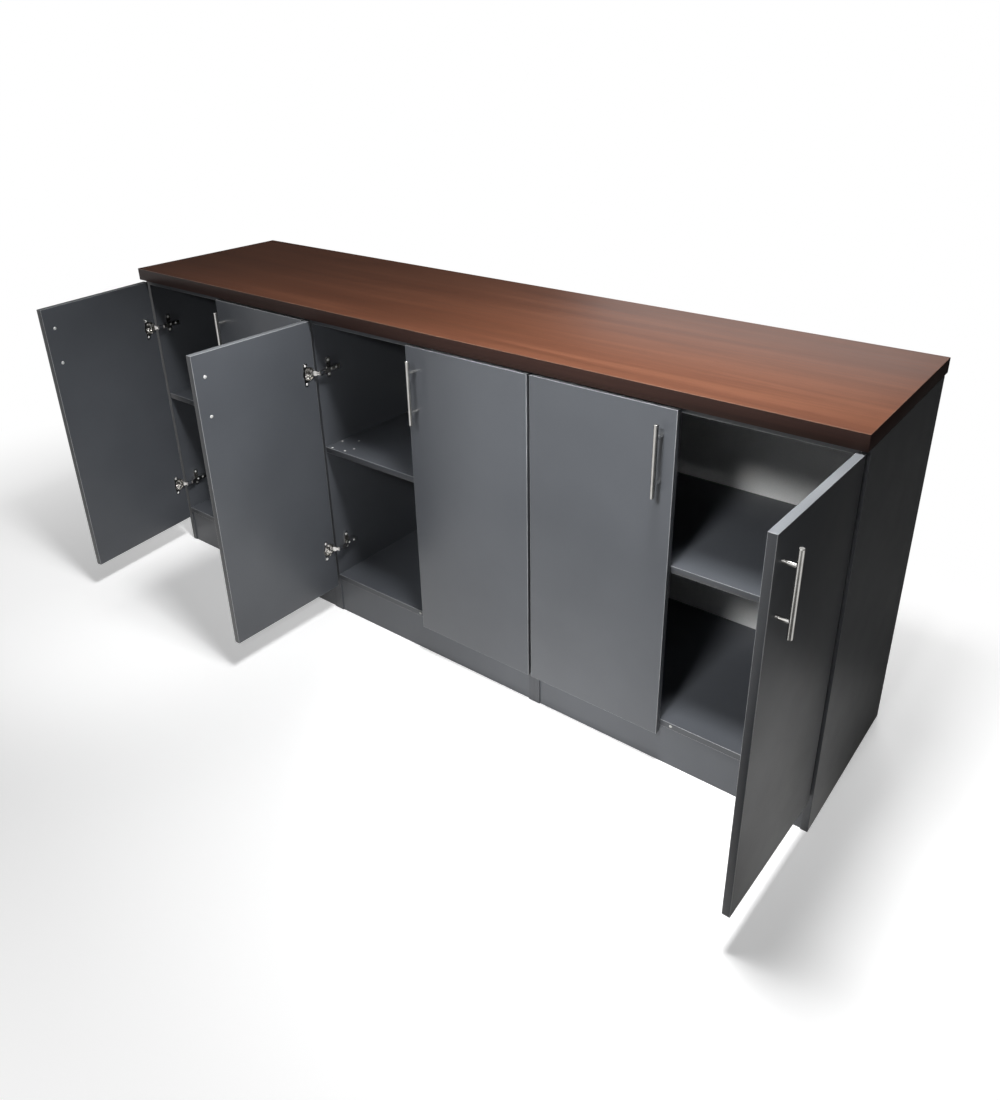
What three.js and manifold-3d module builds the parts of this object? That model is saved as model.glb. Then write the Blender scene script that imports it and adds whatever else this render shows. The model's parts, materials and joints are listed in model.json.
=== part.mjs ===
// Office credenza: three two-door base units side by side under one continuous worktop.
// Each door hangs on two concealed cup hinges and has a T-bar handle near the top of its free edge.
// Millimetres, +Z up, front towards -Y. The origin is on the floor, in the middle of the middle unit's plinth.
import * as THREE from 'three';
import { mergeVertices } from 'three/addons/utils/BufferGeometryUtils.js';
import Module from 'manifold-3d';

const wasm = await Module();
wasm.setup();

// Overall sizes
const UNIT_COUNT = 3;
const UNIT_WIDTH = 700;
const TOTAL_HEIGHT = 900;
const WORKTOP_THICKNESS = 33;
const WORKTOP_FRONT_OVERHANG = 19;
const WORKTOP_REAR_OVERHANG = 21;

// Carcass boards
const BOARD = 16;
const CARCASS_DEPTH = 450;
const PLINTH_HEIGHT = 104;
const PLINTH_SETBACK = 3;
const BACK_THICKNESS = 6;
const BACK_REBATE = 8;
const BACK_CLEARANCE = 0.5;
const SHELF_TOP = 515;
const SHELF_SETBACK = 1;
const SHELF_END_GAP = 0.5;

// Doors
const DOOR_THICKNESS = 16;
const DOOR_BACK_GAP = 2;
const DOOR_BOTTOM = 90;
const DOOR_TOP_GAP = 6;
const DOOR_EDGE_INSET = 3.75;
const DOOR_MEETING_GAP = 3.5;
const SEAT_GAP = 0.1;

// Each door from left to right: its hinge side (1 is left, -1 is right) and how many degrees it stands open
const DOORS = [
  { hand: 1, open: 82.5 },
  { hand: -1, open: 0 },
  { hand: 1, open: 90 },
  { hand: -1, open: 0 },
  { hand: 1, open: 0 },
  { hand: -1, open: 88.5 },
];

// Hinge height on the door, and the axis that the door swings about
const UPPER_HINGE_DROP = 133;
const LOWER_HINGE_RISE = 126;
const AXIS_INSET = 4.25;
const AXIS_BELOW_INNER_FACE = 12.9;

// Hinge cup bored into the door, with its screw flange
const CUP_INSET = 21.5;
const CUP_RADIUS = 16.7;
const CUP_DEPTH = 11.7;
const FLANGE_THICKNESS = 1.2;
const FLANGE_RING = 1.8;
const WING_OFFSET = 9.5;
const WING_LENGTH = 62;
const WING_WIDTH = 13;
const LUG_INSET = 15;
const LUG_BELOW_INNER_FACE = 0.6;
const LUG_PIN_CLEARANCE = 0.3;
const CUP_SIDES = 20;

// Hinge link, from its pin on the arm to its pin in the cup
const ARM_PIN_INSET = 34.25;
const ARM_PIN_BELOW_INNER_FACE = 8.5;
const CUP_PIN_INSET = 12;
const CUP_PIN_BELOW_INNER_FACE = 2.8;
const LINK_TURN_PER_DOOR_TURN = 0.52;
const LINK_BOW = 1.9;
const LINK_THICKNESS = 2.2;
const LINK_WIDTH = 8;
const LINK_EYE_RADIUS = 2.1;
const PIN_RADIUS = 1.2;
const PIN_HOLE_CLEARANCE = 0.4;
const ARM_PIN_LENGTH = 11.4;
const CUP_PIN_LENGTH = 9.6;
const PIN_SIDES = 8;

// Hinge arm, a channel with two cheeks that hold the link, on its mounting plate
const ARM_SIDE_CLEARANCE = 0.4;
const CHEEK_THICKNESS = 1.4;
const CHEEK_NOSE_RADIUS = 2.2;
const ARM_HEIGHT = 18;
const ARM_WEB = 1.6;
const ARM_FOOT = 5;
const ARM_REAR = 62;
const ARM_STRAIGHT_FROM = 24;
const ARM_NECK_AT = 3;
const ARM_WEB_FROM = 8;
const ARM_UNDERSIDE_FROM = 17;
const PLATE_THICKNESS = 2.5;
const PLATE_SCREW_SETBACK = 37;
const PLATE_HEIGHT = 54;
const PLATE_WIDTH = 14;
const SPINE_FRONT = 22;
const SPINE_REAR = 58;
const SPINE_HEIGHT = 8;
const SPINE_SINK = 0.7;
const CURVE_STEPS = 4;

// T-bar handle
const HANDLE_LENGTH = 156;
const HANDLE_CENTRES = 96;
const HANDLE_BAR_RADIUS = 5;
const HANDLE_POST_RADIUS = 4;
const HANDLE_STANDOFF = 26;
const HANDLE_DROP = 56;
const HANDLE_EDGE = 29;
const HANDLE_BAR_SIDES = 16;
const HANDLE_POST_SIDES = 10;

// Sizes that follow from the ones above
const TOTAL_WIDTH = UNIT_COUNT * UNIT_WIDTH;
const CARCASS_TOP = TOTAL_HEIGHT - WORKTOP_THICKNESS;
const CARCASS_FRONT = -PLINTH_SETBACK - BOARD / 2;
const CARCASS_REAR = CARCASS_FRONT + CARCASS_DEPTH;
const WORKTOP_FRONT = CARCASS_FRONT - WORKTOP_FRONT_OVERHANG;
const WORKTOP_REAR = CARCASS_REAR + WORKTOP_REAR_OVERHANG;
const BACK_FRONT = CARCASS_REAR - BACK_THICKNESS;
const INNER_WIDTH = UNIT_WIDTH - 2 * BOARD;
const DOOR_WIDTH = (UNIT_WIDTH - 2 * DOOR_EDGE_INSET - DOOR_MEETING_GAP) / 2;
const DOOR_TOP = CARCASS_TOP - DOOR_TOP_GAP;
const HINGE_HEIGHTS = { upper: DOOR_TOP - UPPER_HINGE_DROP, lower: DOOR_BOTTOM + LOWER_HINGE_RISE };
const EDGE_TO_SIDE_FACE = BOARD - DOOR_EDGE_INSET;

// Finishes
const melamine = new THREE.MeshStandardMaterial({ color: 0x565a60, roughness: 0.55, metalness: 0 });
const backBoard = new THREE.MeshStandardMaterial({ color: 0x6a6b6d, roughness: 0.7, metalness: 0 });
const woodLaminate = new THREE.MeshStandardMaterial({ color: 0x6b4638, roughness: 0.4, metalness: 0 });
const nickel = new THREE.MeshStandardMaterial({ color: 0xc2c2be, roughness: 0.25, metalness: 1 });
const satinSteel = new THREE.MeshStandardMaterial({ color: 0xb4b3b0, roughness: 0.35, metalness: 1 });

// A closed solid from a three.js geometry
function solid(geometry) {
  const bare = geometry.clone();
  bare.deleteAttribute('normal');
  bare.deleteAttribute('uv');
  const merged = mergeVertices(bare);
  const vertProperties = new Float32Array(merged.attributes.position.array);
  const triVerts = new Uint32Array(merged.index.array);
  return new wasm.Manifold(new wasm.Mesh({ numProp: 3, vertProperties, triVerts }));
}

// The three.js geometry of a solid
function geometryOf(body) {
  const mesh = body.getMesh();
  const geometry = new THREE.BufferGeometry();
  geometry.setAttribute('position', new THREE.BufferAttribute(mesh.vertProperties, mesh.numProp));
  geometry.setIndex(new THREE.BufferAttribute(mesh.triVerts, 1));
  geometry.computeVertexNormals();
  return geometry;
}

// A box between two corners
function boxBetween(low, high) {
  const size = high.map((value, axis) => value - low[axis]);
  const middle = high.map((value, axis) => (value + low[axis]) / 2);
  return new THREE.BoxGeometry(...size).translate(...middle);
}

// A round bar along Z
function barAlongZ(radius, length, sides) {
  return new THREE.CylinderGeometry(radius, radius, length, sides).rotateX(Math.PI / 2);
}

// A plan outline drawn in X and Y, given a thickness that is centred on Z = 0
function plateAcrossZ(shape, thickness) {
  const options = { depth: thickness, bevelEnabled: false, curveSegments: CURVE_STEPS };
  return new THREE.ExtrudeGeometry(shape, options).translate(0, 0, -thickness / 2);
}

// An upright slot shape with round ends, centred on a point
function roundEndedShape(x, y, width, length) {
  const radius = width / 2;
  const reach = length / 2 - radius;
  const shape = new THREE.Shape();
  shape.absarc(x, y + reach, radius, 0, Math.PI, false);
  shape.absarc(x, y - reach, radius, Math.PI, 2 * Math.PI, false);
  return shape;
}

function named(name, geometry, material) {
  const mesh = new THREE.Mesh(geometry, material);
  mesh.name = name;
  return mesh;
}

// Worktop over all the units
function worktop() {
  const low = [-TOTAL_WIDTH / 2, WORKTOP_FRONT, CARCASS_TOP];
  const high = [TOTAL_WIDTH / 2, WORKTOP_REAR, TOTAL_HEIGHT];
  return named('worktop', boxBetween(low, high), woodLaminate);
}

// Side panel, rebated at the rear for the back; hand is 1 for the left side of a unit
function sidePanel(hand) {
  const panel = solid(boxBetween([0, CARCASS_FRONT, 0], [BOARD, CARCASS_REAR, CARCASS_TOP]));
  const rebateLow = [BOARD - BACK_REBATE, BACK_FRONT - BACK_CLEARANCE, PLINTH_HEIGHT - BACK_CLEARANCE];
  const rebateHigh = [2 * BOARD, CARCASS_REAR + BOARD, CARCASS_TOP + BOARD];
  const rebated = geometryOf(panel.subtract(solid(boxBetween(rebateLow, rebateHigh))));
  return hand > 0 ? rebated : mirrored(rebated);
}

// A geometry mirrored across X = 0, with its faces still pointing out
function mirrored(geometry) {
  const copy = geometry.clone().scale(-1, 1, 1);
  const index = copy.index.array;
  for (let corner = 0; corner < index.length; corner += 3) {
    const first = index[corner];
    index[corner] = index[corner + 1];
    index[corner + 1] = first;
  }
  copy.computeVertexNormals();
  return copy;
}

// Carcass of one unit, drawn with its left outer face at X = 0
function carcass(number) {
  const unit = new THREE.Group();
  const label = `unit_${number}`;
  const left = BOARD;
  const right = BOARD + INNER_WIDTH;
  unit.add(named(`${label}_left_side`, sidePanel(1), melamine));
  const rightSide = named(`${label}_right_side`, sidePanel(-1), melamine);
  rightSide.position.x = UNIT_WIDTH;
  unit.add(rightSide);

  const boardRear = BACK_FRONT - BACK_CLEARANCE;
  const bottomTop = PLINTH_HEIGHT + BOARD;
  const topUnder = CARCASS_TOP - BOARD;
  const plinthFront = CARCASS_FRONT + PLINTH_SETBACK;
  const shelfFront = CARCASS_FRONT + SHELF_SETBACK;
  const backLeft = left - BACK_REBATE + BACK_CLEARANCE;
  const backRight = right + BACK_REBATE - BACK_CLEARANCE;
  const boards = {
    bottom: [[left, CARCASS_FRONT, PLINTH_HEIGHT], [right, boardRear, bottomTop], melamine],
    top_panel: [[left, CARCASS_FRONT, topUnder], [right, boardRear, CARCASS_TOP], melamine],
    plinth: [[left, plinthFront, 0], [right, plinthFront + BOARD, PLINTH_HEIGHT], melamine],
    shelf: [
      [left + SHELF_END_GAP, shelfFront, SHELF_TOP - BOARD],
      [right - SHELF_END_GAP, boardRear, SHELF_TOP],
      melamine,
    ],
    back: [
      [backLeft, BACK_FRONT, PLINTH_HEIGHT],
      [backRight, CARCASS_REAR, CARCASS_TOP - BACK_CLEARANCE],
      backBoard,
    ],
  };
  for (const [board, [low, high, material]] of Object.entries(boards)) {
    unit.add(named(`${label}_${board}`, boxBetween(low, high), material));
  }
  return unit;
}

// Lug at one end of the link's cup pin, drawn from the door's edge and inner face at the cup's height
function cupLug(side) {
  const near = side * (CUP_PIN_LENGTH / 2 + LUG_PIN_CLEARANCE);
  const far = side * CUP_RADIUS;
  const low = [CUP_INSET - CUP_RADIUS, -CUP_DEPTH, Math.min(near, far)];
  const high = [LUG_INSET, -LUG_BELOW_INNER_FACE, Math.max(near, far)];
  return boxBetween(low, high);
}

// Door panel with its two hinge cups, drawn about the hinge axis with the free edge towards +X
function doorPanel() {
  const edge = -AXIS_INSET;
  const innerFace = AXIS_BELOW_INNER_FACE;
  const low = [edge, innerFace - DOOR_THICKNESS, DOOR_BOTTOM];
  const high = [edge + DOOR_WIDTH, innerFace, DOOR_TOP];
  let door = solid(boxBetween(low, high));
  for (const height of Object.values(HINGE_HEIGHTS)) {
    const cupX = edge + CUP_INSET;
    const ring = new THREE.CylinderGeometry(
      CUP_RADIUS + FLANGE_RING, CUP_RADIUS + FLANGE_RING, 2 * FLANGE_THICKNESS, CUP_SIDES);
    const wing = roundEndedShape(cupX + WING_OFFSET, 0, WING_WIDTH, WING_LENGTH);
    const wings = plateAcrossZ(wing, 2 * FLANGE_THICKNESS).rotateX(Math.PI / 2);
    const cavity = new THREE.CylinderGeometry(CUP_RADIUS, CUP_RADIUS, 2 * CUP_DEPTH, CUP_SIDES);
    door = door.add(solid(ring.translate(cupX, innerFace, height)));
    door = door.add(solid(wings.translate(0, innerFace, height)));
    door = door.subtract(solid(cavity.translate(cupX, innerFace, height)));
    for (const side of [1, -1]) {
      door = door.add(solid(cupLug(side).translate(edge, innerFace, height)));
    }
  }
  return geometryOf(door);
}

// T-bar handle: a round bar on two posts, drawn about the hinge axis like the door
function handle() {
  const doorFront = AXIS_BELOW_INNER_FACE - DOOR_THICKNESS;
  const barX = DOOR_WIDTH - AXIS_INSET - HANDLE_EDGE;
  const barY = doorFront - HANDLE_STANDOFF;
  const upperPost = DOOR_TOP - HANDLE_DROP;
  const middle = upperPost - HANDLE_CENTRES / 2;
  const postLength = HANDLE_STANDOFF - SEAT_GAP;
  let body = solid(barAlongZ(HANDLE_BAR_RADIUS, HANDLE_LENGTH, HANDLE_BAR_SIDES).translate(barX, barY, middle));
  for (const height of [upperPost, upperPost - HANDLE_CENTRES]) {
    const post = new THREE.CylinderGeometry(
      HANDLE_POST_RADIUS, HANDLE_POST_RADIUS, postLength, HANDLE_POST_SIDES);
    body = body.add(solid(post.translate(barX, barY + postLength / 2, height)));
  }
  return geometryOf(body);
}

// Where the hinge's pins lie, in plan from the inner front corner of the side panel, with the door closed
const ARM_PIN = new THREE.Vector2(
  ARM_PIN_INSET - EDGE_TO_SIDE_FACE, -DOOR_BACK_GAP - ARM_PIN_BELOW_INNER_FACE);
const CUP_PIN = new THREE.Vector2(
  CUP_PIN_INSET - EDGE_TO_SIDE_FACE, -DOOR_BACK_GAP - CUP_PIN_BELOW_INNER_FACE);
const AXIS = new THREE.Vector2(
  AXIS_INSET - EDGE_TO_SIDE_FACE, -DOOR_BACK_GAP - AXIS_BELOW_INNER_FACE);

// Hinge link: a bowed strap with an eye and a pin at each end, drawn about the arm pin
function hingeLink() {
  const span = CUP_PIN.clone().sub(ARM_PIN);
  const bow = new THREE.Vector2(span.y, -span.x).normalize().multiplyScalar(-2 * LINK_BOW);
  const control = span.clone().multiplyScalar(0.5).add(bow);
  const curve = new THREE.QuadraticBezierCurve(new THREE.Vector2(), control, span);
  const middleLine = curve.getPoints(2 * CURVE_STEPS);
  const edges = [1, -1].map((side) => middleLine.map((point, step) => {
    const along = curve.getTangent(step / (2 * CURVE_STEPS));
    const across = new THREE.Vector2(-along.y, along.x);
    return point.clone().addScaledVector(across, (side * LINK_THICKNESS) / 2);
  }));
  const strap = new THREE.Shape([...edges[0], ...edges[1].reverse()]);
  let link = solid(plateAcrossZ(strap, LINK_WIDTH));
  const ends = [[new THREE.Vector2(), ARM_PIN_LENGTH], [span, CUP_PIN_LENGTH]];
  for (const [centre, pinLength] of ends) {
    const eye = barAlongZ(LINK_EYE_RADIUS, LINK_WIDTH, PIN_SIDES).translate(centre.x, centre.y, 0);
    const pin = barAlongZ(PIN_RADIUS, pinLength, PIN_SIDES).translate(centre.x, centre.y, 0);
    link = link.add(solid(eye)).add(solid(pin));
  }
  return geometryOf(link);
}

// Hinge arm on its mounting plate, drawn from the inner front corner of the side panel
function hingeArm() {
  const slot = LINK_WIDTH + 2 * ARM_SIDE_CLEARANCE;
  const width = slot + 2 * CHEEK_THICKNESS;
  const nose = CHEEK_NOSE_RADIUS;
  const outline = new THREE.Shape();
  outline.moveTo(ARM_FOOT, ARM_REAR);
  outline.lineTo(ARM_FOOT, ARM_UNDERSIDE_FROM);
  outline.quadraticCurveTo(ARM_PIN.x - nose, ARM_UNDERSIDE_FROM, ARM_PIN.x - nose, ARM_NECK_AT);
  outline.lineTo(ARM_PIN.x - nose, ARM_PIN.y);
  outline.absarc(ARM_PIN.x, ARM_PIN.y, nose, Math.PI, 2 * Math.PI, false);
  outline.lineTo(ARM_PIN.x + nose, ARM_NECK_AT);
  outline.quadraticCurveTo(ARM_PIN.x + nose, ARM_STRAIGHT_FROM, ARM_HEIGHT, ARM_STRAIGHT_FROM);
  outline.lineTo(ARM_HEIGHT, ARM_REAR);
  outline.closePath();
  let arm = solid(plateAcrossZ(outline, width));

  const reach = ARM_PIN.x + ARM_HEIGHT;
  const noseEnd = ARM_PIN.y - 2 * nose;
  const mouth = boxBetween([-reach, noseEnd, -slot / 2], [reach, ARM_WEB_FROM, slot / 2]);
  const channel = boxBetween([-reach, noseEnd, -slot / 2], [ARM_HEIGHT - ARM_WEB, 2 * ARM_REAR, slot / 2]);
  arm = arm.subtract(solid(mouth)).subtract(solid(channel));

  const spineHalf = slot / 2 + SPINE_SINK;
  const spine = boxBetween([0, SPINE_FRONT, -spineHalf], [SPINE_HEIGHT, SPINE_REAR, spineHalf]);
  const plateShape = roundEndedShape(PLATE_SCREW_SETBACK, 0, PLATE_WIDTH, PLATE_HEIGHT);
  const plate = plateAcrossZ(plateShape, PLATE_THICKNESS).translate(0, 0, PLATE_THICKNESS / 2);
  const standUp = new THREE.Matrix4().makeBasis(
    new THREE.Vector3(0, 1, 0), new THREE.Vector3(0, 0, 1), new THREE.Vector3(1, 0, 0));
  arm = arm.add(solid(spine)).add(solid(plate.applyMatrix4(standUp)));

  const hole = barAlongZ(PIN_RADIUS + PIN_HOLE_CLEARANCE, 2 * width, PIN_SIDES);
  return geometryOf(arm.subtract(solid(hole.translate(ARM_PIN.x, ARM_PIN.y, 0))));
}

// A door with its handle and hinges, drawn for a door hung on the left
function doorSet(number, open, shapes) {
  const label = `door_${number}`;
  const turn = THREE.MathUtils.degToRad(open);
  const set = new THREE.Group();
  const swing = new THREE.Group();
  swing.position.set(AXIS.x, AXIS.y, 0);
  swing.rotation.z = -turn;
  swing.add(named(label, shapes.door, melamine));
  swing.add(named(`${label}_handle`, shapes.handle, satinSteel));
  set.add(swing);
  for (const [place, height] of Object.entries(HINGE_HEIGHTS)) {
    const arm = named(`${label}_${place}_hinge_arm`, shapes.arm, nickel);
    arm.position.z = height;
    const link = named(`${label}_${place}_hinge_link`, shapes.link, nickel);
    link.position.set(ARM_PIN.x, ARM_PIN.y, height);
    link.rotation.z = turn * LINK_TURN_PER_DOOR_TURN;
    set.add(arm, link);
  }
  return set;
}

const credenza = new THREE.Group();
credenza.add(worktop());

const shapes = { door: doorPanel(), handle: handle(), arm: hingeArm(), link: hingeLink() };
for (let index = 0; index < UNIT_COUNT; index += 1) {
  const unit = carcass(index + 1);
  unit.position.x = index * UNIT_WIDTH - TOTAL_WIDTH / 2;
  credenza.add(unit);
}

DOORS.forEach(({ hand, open }, index) => {
  const unitLeft = Math.floor(index / 2) * UNIT_WIDTH - TOTAL_WIDTH / 2;
  const sideFace = hand > 0 ? unitLeft + BOARD : unitLeft + UNIT_WIDTH - BOARD;
  const set = doorSet(index + 1, open, shapes);
  set.position.set(sideFace, CARCASS_FRONT, 0);
  set.scale.x = hand;
  credenza.add(set);
});

export default credenza;
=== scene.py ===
# Looks of the office credenza: finishes, fine hardware, camera and light.
# Metres, in the frame of the solids.
import json
import math

import bmesh
import bpy
from mathutils import Matrix, Vector

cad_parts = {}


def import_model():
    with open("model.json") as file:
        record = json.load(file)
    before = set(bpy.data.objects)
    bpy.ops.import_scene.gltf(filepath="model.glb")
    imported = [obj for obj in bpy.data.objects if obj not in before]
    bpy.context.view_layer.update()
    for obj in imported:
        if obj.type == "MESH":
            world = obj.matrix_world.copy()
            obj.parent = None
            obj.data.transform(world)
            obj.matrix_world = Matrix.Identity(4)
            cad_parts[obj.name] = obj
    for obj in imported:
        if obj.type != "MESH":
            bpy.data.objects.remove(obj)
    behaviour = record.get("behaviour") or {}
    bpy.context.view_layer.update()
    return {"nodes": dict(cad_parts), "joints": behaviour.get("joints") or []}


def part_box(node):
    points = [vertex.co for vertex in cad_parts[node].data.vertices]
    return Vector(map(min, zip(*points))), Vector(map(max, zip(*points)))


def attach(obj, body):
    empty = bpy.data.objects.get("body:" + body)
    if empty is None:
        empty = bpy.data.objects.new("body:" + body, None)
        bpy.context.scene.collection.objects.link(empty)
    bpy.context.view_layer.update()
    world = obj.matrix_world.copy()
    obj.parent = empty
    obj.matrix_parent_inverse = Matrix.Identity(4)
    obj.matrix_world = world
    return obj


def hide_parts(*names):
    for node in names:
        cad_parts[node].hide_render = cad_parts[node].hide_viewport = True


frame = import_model()
nodes = frame["nodes"]

# Lengths below are written in millimetres and multiplied by MM
MM = 0.001

# Camera of the photograph, in a frame of 1000 x 1100 pixels
PHOTO_SIZE = (1000, 1100)
CAMERA_PLACE = Vector((1.428, -1.4732, 1.4926))
CAMERA_HEADING = math.radians(-37.33)
CAMERA_TILT = math.radians(-25.46)
CAMERA_ROLL = math.radians(-0.65)
CAMERA_FOCUS_PIXELS = 917.8
CAMERA_CENTRE_PIXELS = (519.7, 473.4)
SENSOR = 36.0

# Boards and doors
UNITS = (1, 2, 3)
DOORS = (1, 2, 3, 4, 5, 6)
PLACES = ("upper", "lower")
SIDES = (1, -1)
CLOSED_LEFT_DOOR = 5
DOOR_THICKNESS = 16 * MM
DOOR_ARRIS = 0.9 * MM
BOARD_ARRIS = 0.7 * MM
WORKTOP_ARRIS = 1.1 * MM
SHELF_REAR_GAP = 36 * MM

# Concealed hinge: the cup in the door
CUP_INSET = 21.5 * MM
CUP_POCKET_RADIUS = 17.6 * MM
CUP_POCKET_DEPTH = 12.4 * MM
CUP_OUTER_RADIUS = 17.4 * MM
CUP_INNER_RADIUS = 16.7 * MM
CUP_DEPTH = 11.7 * MM
CUP_FILLET = 1.5 * MM
CUP_SCREW_RADIUS = 3.6 * MM
CUP_SCREW_HEIGHT = 1.3 * MM
FLANGE_THICKNESS = 1.2 * MM
FLANGE_RADIUS = 18.5 * MM
FLANGE_SCREW_OFFSET = 9.5 * MM
FLANGE_SCREW_CENTRES = 48 * MM
WING_WIDTH = 13 * MM
WING_LENGTH = 62 * MM
LUG_INSET = 15 * MM
LUG_GAP = 5.1 * MM
LUG_FAR = 9.5 * MM
LUG_BELOW_FACE = 0.6 * MM
HINGE_ARRIS = 0.35 * MM

# Concealed hinge: the arm and its plate on the side panel
PLATE_THICKNESS = 2.5 * MM
PLATE_SCREW_SETBACK = 37 * MM
PLATE_SCREW_CENTRES = 38 * MM
PLATE_SCREW_RADIUS = 3.6 * MM
PLATE_SCREW_HEIGHT = 1.2 * MM
ARM_HEIGHT = 18 * MM
ARM_SCREW_SETBACKS = (33 * MM, 50 * MM)
ARM_SCREW_RADIUS = 2.9 * MM
ARM_SCREW_HEIGHT = 0.9 * MM

# Concealed hinge: the link, broadened about a middle that is measured from its turning axis
LINK_MIDDLE = 11.4 * MM
LINK_HALF_STRAP = 5 * MM
LINK_BROADER = 0.6
LINK_STEEPNESS = 4
LINK_ARRIS = 0.25 * MM

# Handle
HANDLE_BAR_RADIUS = 5 * MM
HANDLE_POST_RADIUS = 4 * MM
HANDLE_CENTRES = 96 * MM
HANDLE_CHAMFER = 0.9 * MM
HANDLE_STANDOFF = 26 * MM
HANDLE_POST_CHAMFER = 0.3 * MM
HANDLE_SEAT = 0.05 * MM
HANDLE_SCREW_RADIUS = 4.2 * MM
HANDLE_SCREW_HEIGHT = 1.8 * MM

# Small pieces on the carcass. The marks are given across and back from a shelf's front left corner
PIN_RADIUS = 2.5 * MM
PIN_LENGTH = 8 * MM
PIN_COLLAR = 1.2 * MM
PIN_SETBACKS = (60 * MM, 370 * MM)
BUMPER_RADIUS = 3.6 * MM
BUMPER_HEIGHT = 1.4 * MM
BUMPER_OFFSET = 24 * MM
MARK_RADIUS = 2.8 * MM
MARK_TOP_SHARE = 0.8
MARK_HEIGHT = 0.25 * MM
MARKED_UNIT = 2
SHELF_MARKS = [(8, 52), (19, 6), (43, 79), (61, 11), (71, 34)]

# Screw heads, in shares of the head's radius and height
HEAD_FOOT = 0.7
RECESS_HALF_LENGTH = 0.58
RECESS_HALF_WIDTH = 0.13
RECESS_FLOOR = 0.2
RECESS_ANGLES = (math.radians(45), math.radians(135))

# How finely curves and bevels are drawn
SMOOTH_ANGLE = math.radians(35)
ROUND_SIDES = 48
SMALL_SIDES = 28
DOME_STEPS = 6
ARRIS_STEPS = 2
ROUND_STEPS = 3
WELD = 0.01 * MM

# The order of a piece's finishes. A bevel can also keep the finish of the faces it joins
ON_FACE, ON_EDGE, ON_ARRIS, ON_TOP = range(4)
KEEP_FINISH = -1

# A face's direction is read from its normal's share along an axis
FACING = 0.9
LEVEL = 0.99
SLOPING = 0.05


# Meshes

def mesh_of(bm, name):
    """The bmesh as mesh data."""
    mesh = bpy.data.meshes.new(name)
    bm.to_mesh(mesh)
    bm.free()
    return mesh


def box_mesh(name, low, high):
    """A box between two corners."""
    bm = bmesh.new()
    bmesh.ops.create_cube(bm, size=1.0)
    size = Vector(high) - Vector(low)
    middle = (Vector(high) + Vector(low)) / 2
    for vert in bm.verts:
        vert.co = Vector(c * s for c, s in zip(vert.co, size)) + middle
    return mesh_of(bm, name)


def lathe_mesh(name, profile, sides):
    """Turns (radius, height) points about Z. A radius of 0 is a point on the axis."""
    bm = bmesh.new()
    rings = []
    for radius, height in profile:
        if radius == 0:
            rings.append([bm.verts.new((0, 0, height))])
            continue
        ring = []
        for step in range(sides):
            angle = 2 * math.pi * step / sides
            ring.append(bm.verts.new((radius * math.cos(angle), radius * math.sin(angle), height)))
        rings.append(ring)
    for lower, upper in zip(rings, rings[1:]):
        for step in range(sides):
            following = (step + 1) % sides
            if len(lower) == 1:
                bm.faces.new((lower[0], upper[following], upper[step]))
            elif len(upper) == 1:
                bm.faces.new((lower[step], lower[following], upper[0]))
            else:
                bm.faces.new((lower[step], lower[following], upper[following], upper[step]))
    bmesh.ops.recalc_face_normals(bm, faces=bm.faces[:])
    return mesh_of(bm, name)


def drum_mesh(name, radius, low, high):
    """A plain cylinder about Z between two heights."""
    return lathe_mesh(name, [(0, low), (radius, low), (radius, high), (0, high)], ROUND_SIDES)


def dome_profile(radius, height):
    """Points of a dome above its rim, up to its top on the axis."""
    points = []
    for step in range(1, DOME_STEPS):
        angle = math.radians(90 * step / DOME_STEPS)
        points.append((radius * math.cos(angle), height * math.sin(angle)))
    return points + [(0, height)]


def slot_mesh(name, width, length, thickness):
    """A flat bar with round ends along Y, its thickness along Z from 0."""
    radius = width / 2
    reach = length / 2 - radius
    outline = []
    for start, shift in ((0, reach), (math.pi, -reach)):
        for step in range(SMALL_SIDES + 1):
            angle = start + math.pi * step / SMALL_SIDES
            outline.append((radius * math.cos(angle), shift + radius * math.sin(angle)))
    bm = bmesh.new()
    face = bm.faces.new([bm.verts.new((x, y, 0)) for x, y in outline])
    raised = bmesh.ops.extrude_face_region(bm, geom=[face])
    lifted = [item for item in raised["geom"] if isinstance(item, bmesh.types.BMVert)]
    bmesh.ops.translate(bm, verts=lifted, vec=(0, 0, thickness))
    bmesh.ops.recalc_face_normals(bm, faces=bm.faces[:])
    return mesh_of(bm, name)


def moved(mesh, matrix):
    """A copy of mesh data under a matrix, with its faces still pointing out."""
    copy = mesh.copy()
    copy.transform(matrix)
    if matrix.determinant() < 0:
        copy.flip_normals()
    return copy


def joined(name, meshes):
    """Several meshes as one."""
    bm = bmesh.new()
    for mesh in meshes:
        bm.from_mesh(mesh)
    return mesh_of(bm, name)


def repeated(name, mesh, matrices):
    """Copies of a mesh under several matrices, as one mesh."""
    return joined(name, [moved(mesh, matrix) for matrix in matrices])


def with_modifiers(mesh, add_modifiers):
    """Mesh data after modifiers that add_modifiers(object) puts on it."""
    holder = bpy.data.objects.new("holder", mesh)
    bpy.context.scene.collection.objects.link(holder)
    add_modifiers(holder)
    depsgraph = bpy.context.evaluated_depsgraph_get()
    result = bpy.data.meshes.new_from_object(holder.evaluated_get(depsgraph))
    bpy.data.objects.remove(holder)
    return result


def boolean(mesh, tool, operation):
    """mesh joined with or cut by tool."""
    tool_object = bpy.data.objects.new("tool", tool)
    bpy.context.scene.collection.objects.link(tool_object)

    def add(holder):
        modifier = holder.modifiers.new("boolean", "BOOLEAN")
        modifier.object = tool_object
        modifier.operation = operation
        modifier.solver = "EXACT"

    result = with_modifiers(mesh, add)
    bpy.data.objects.remove(tool_object)
    return result


def add_weld(holder):
    """Joins the corners that a solid's faces share."""
    holder.modifiers.new("weld", "WELD").merge_threshold = WELD


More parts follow.
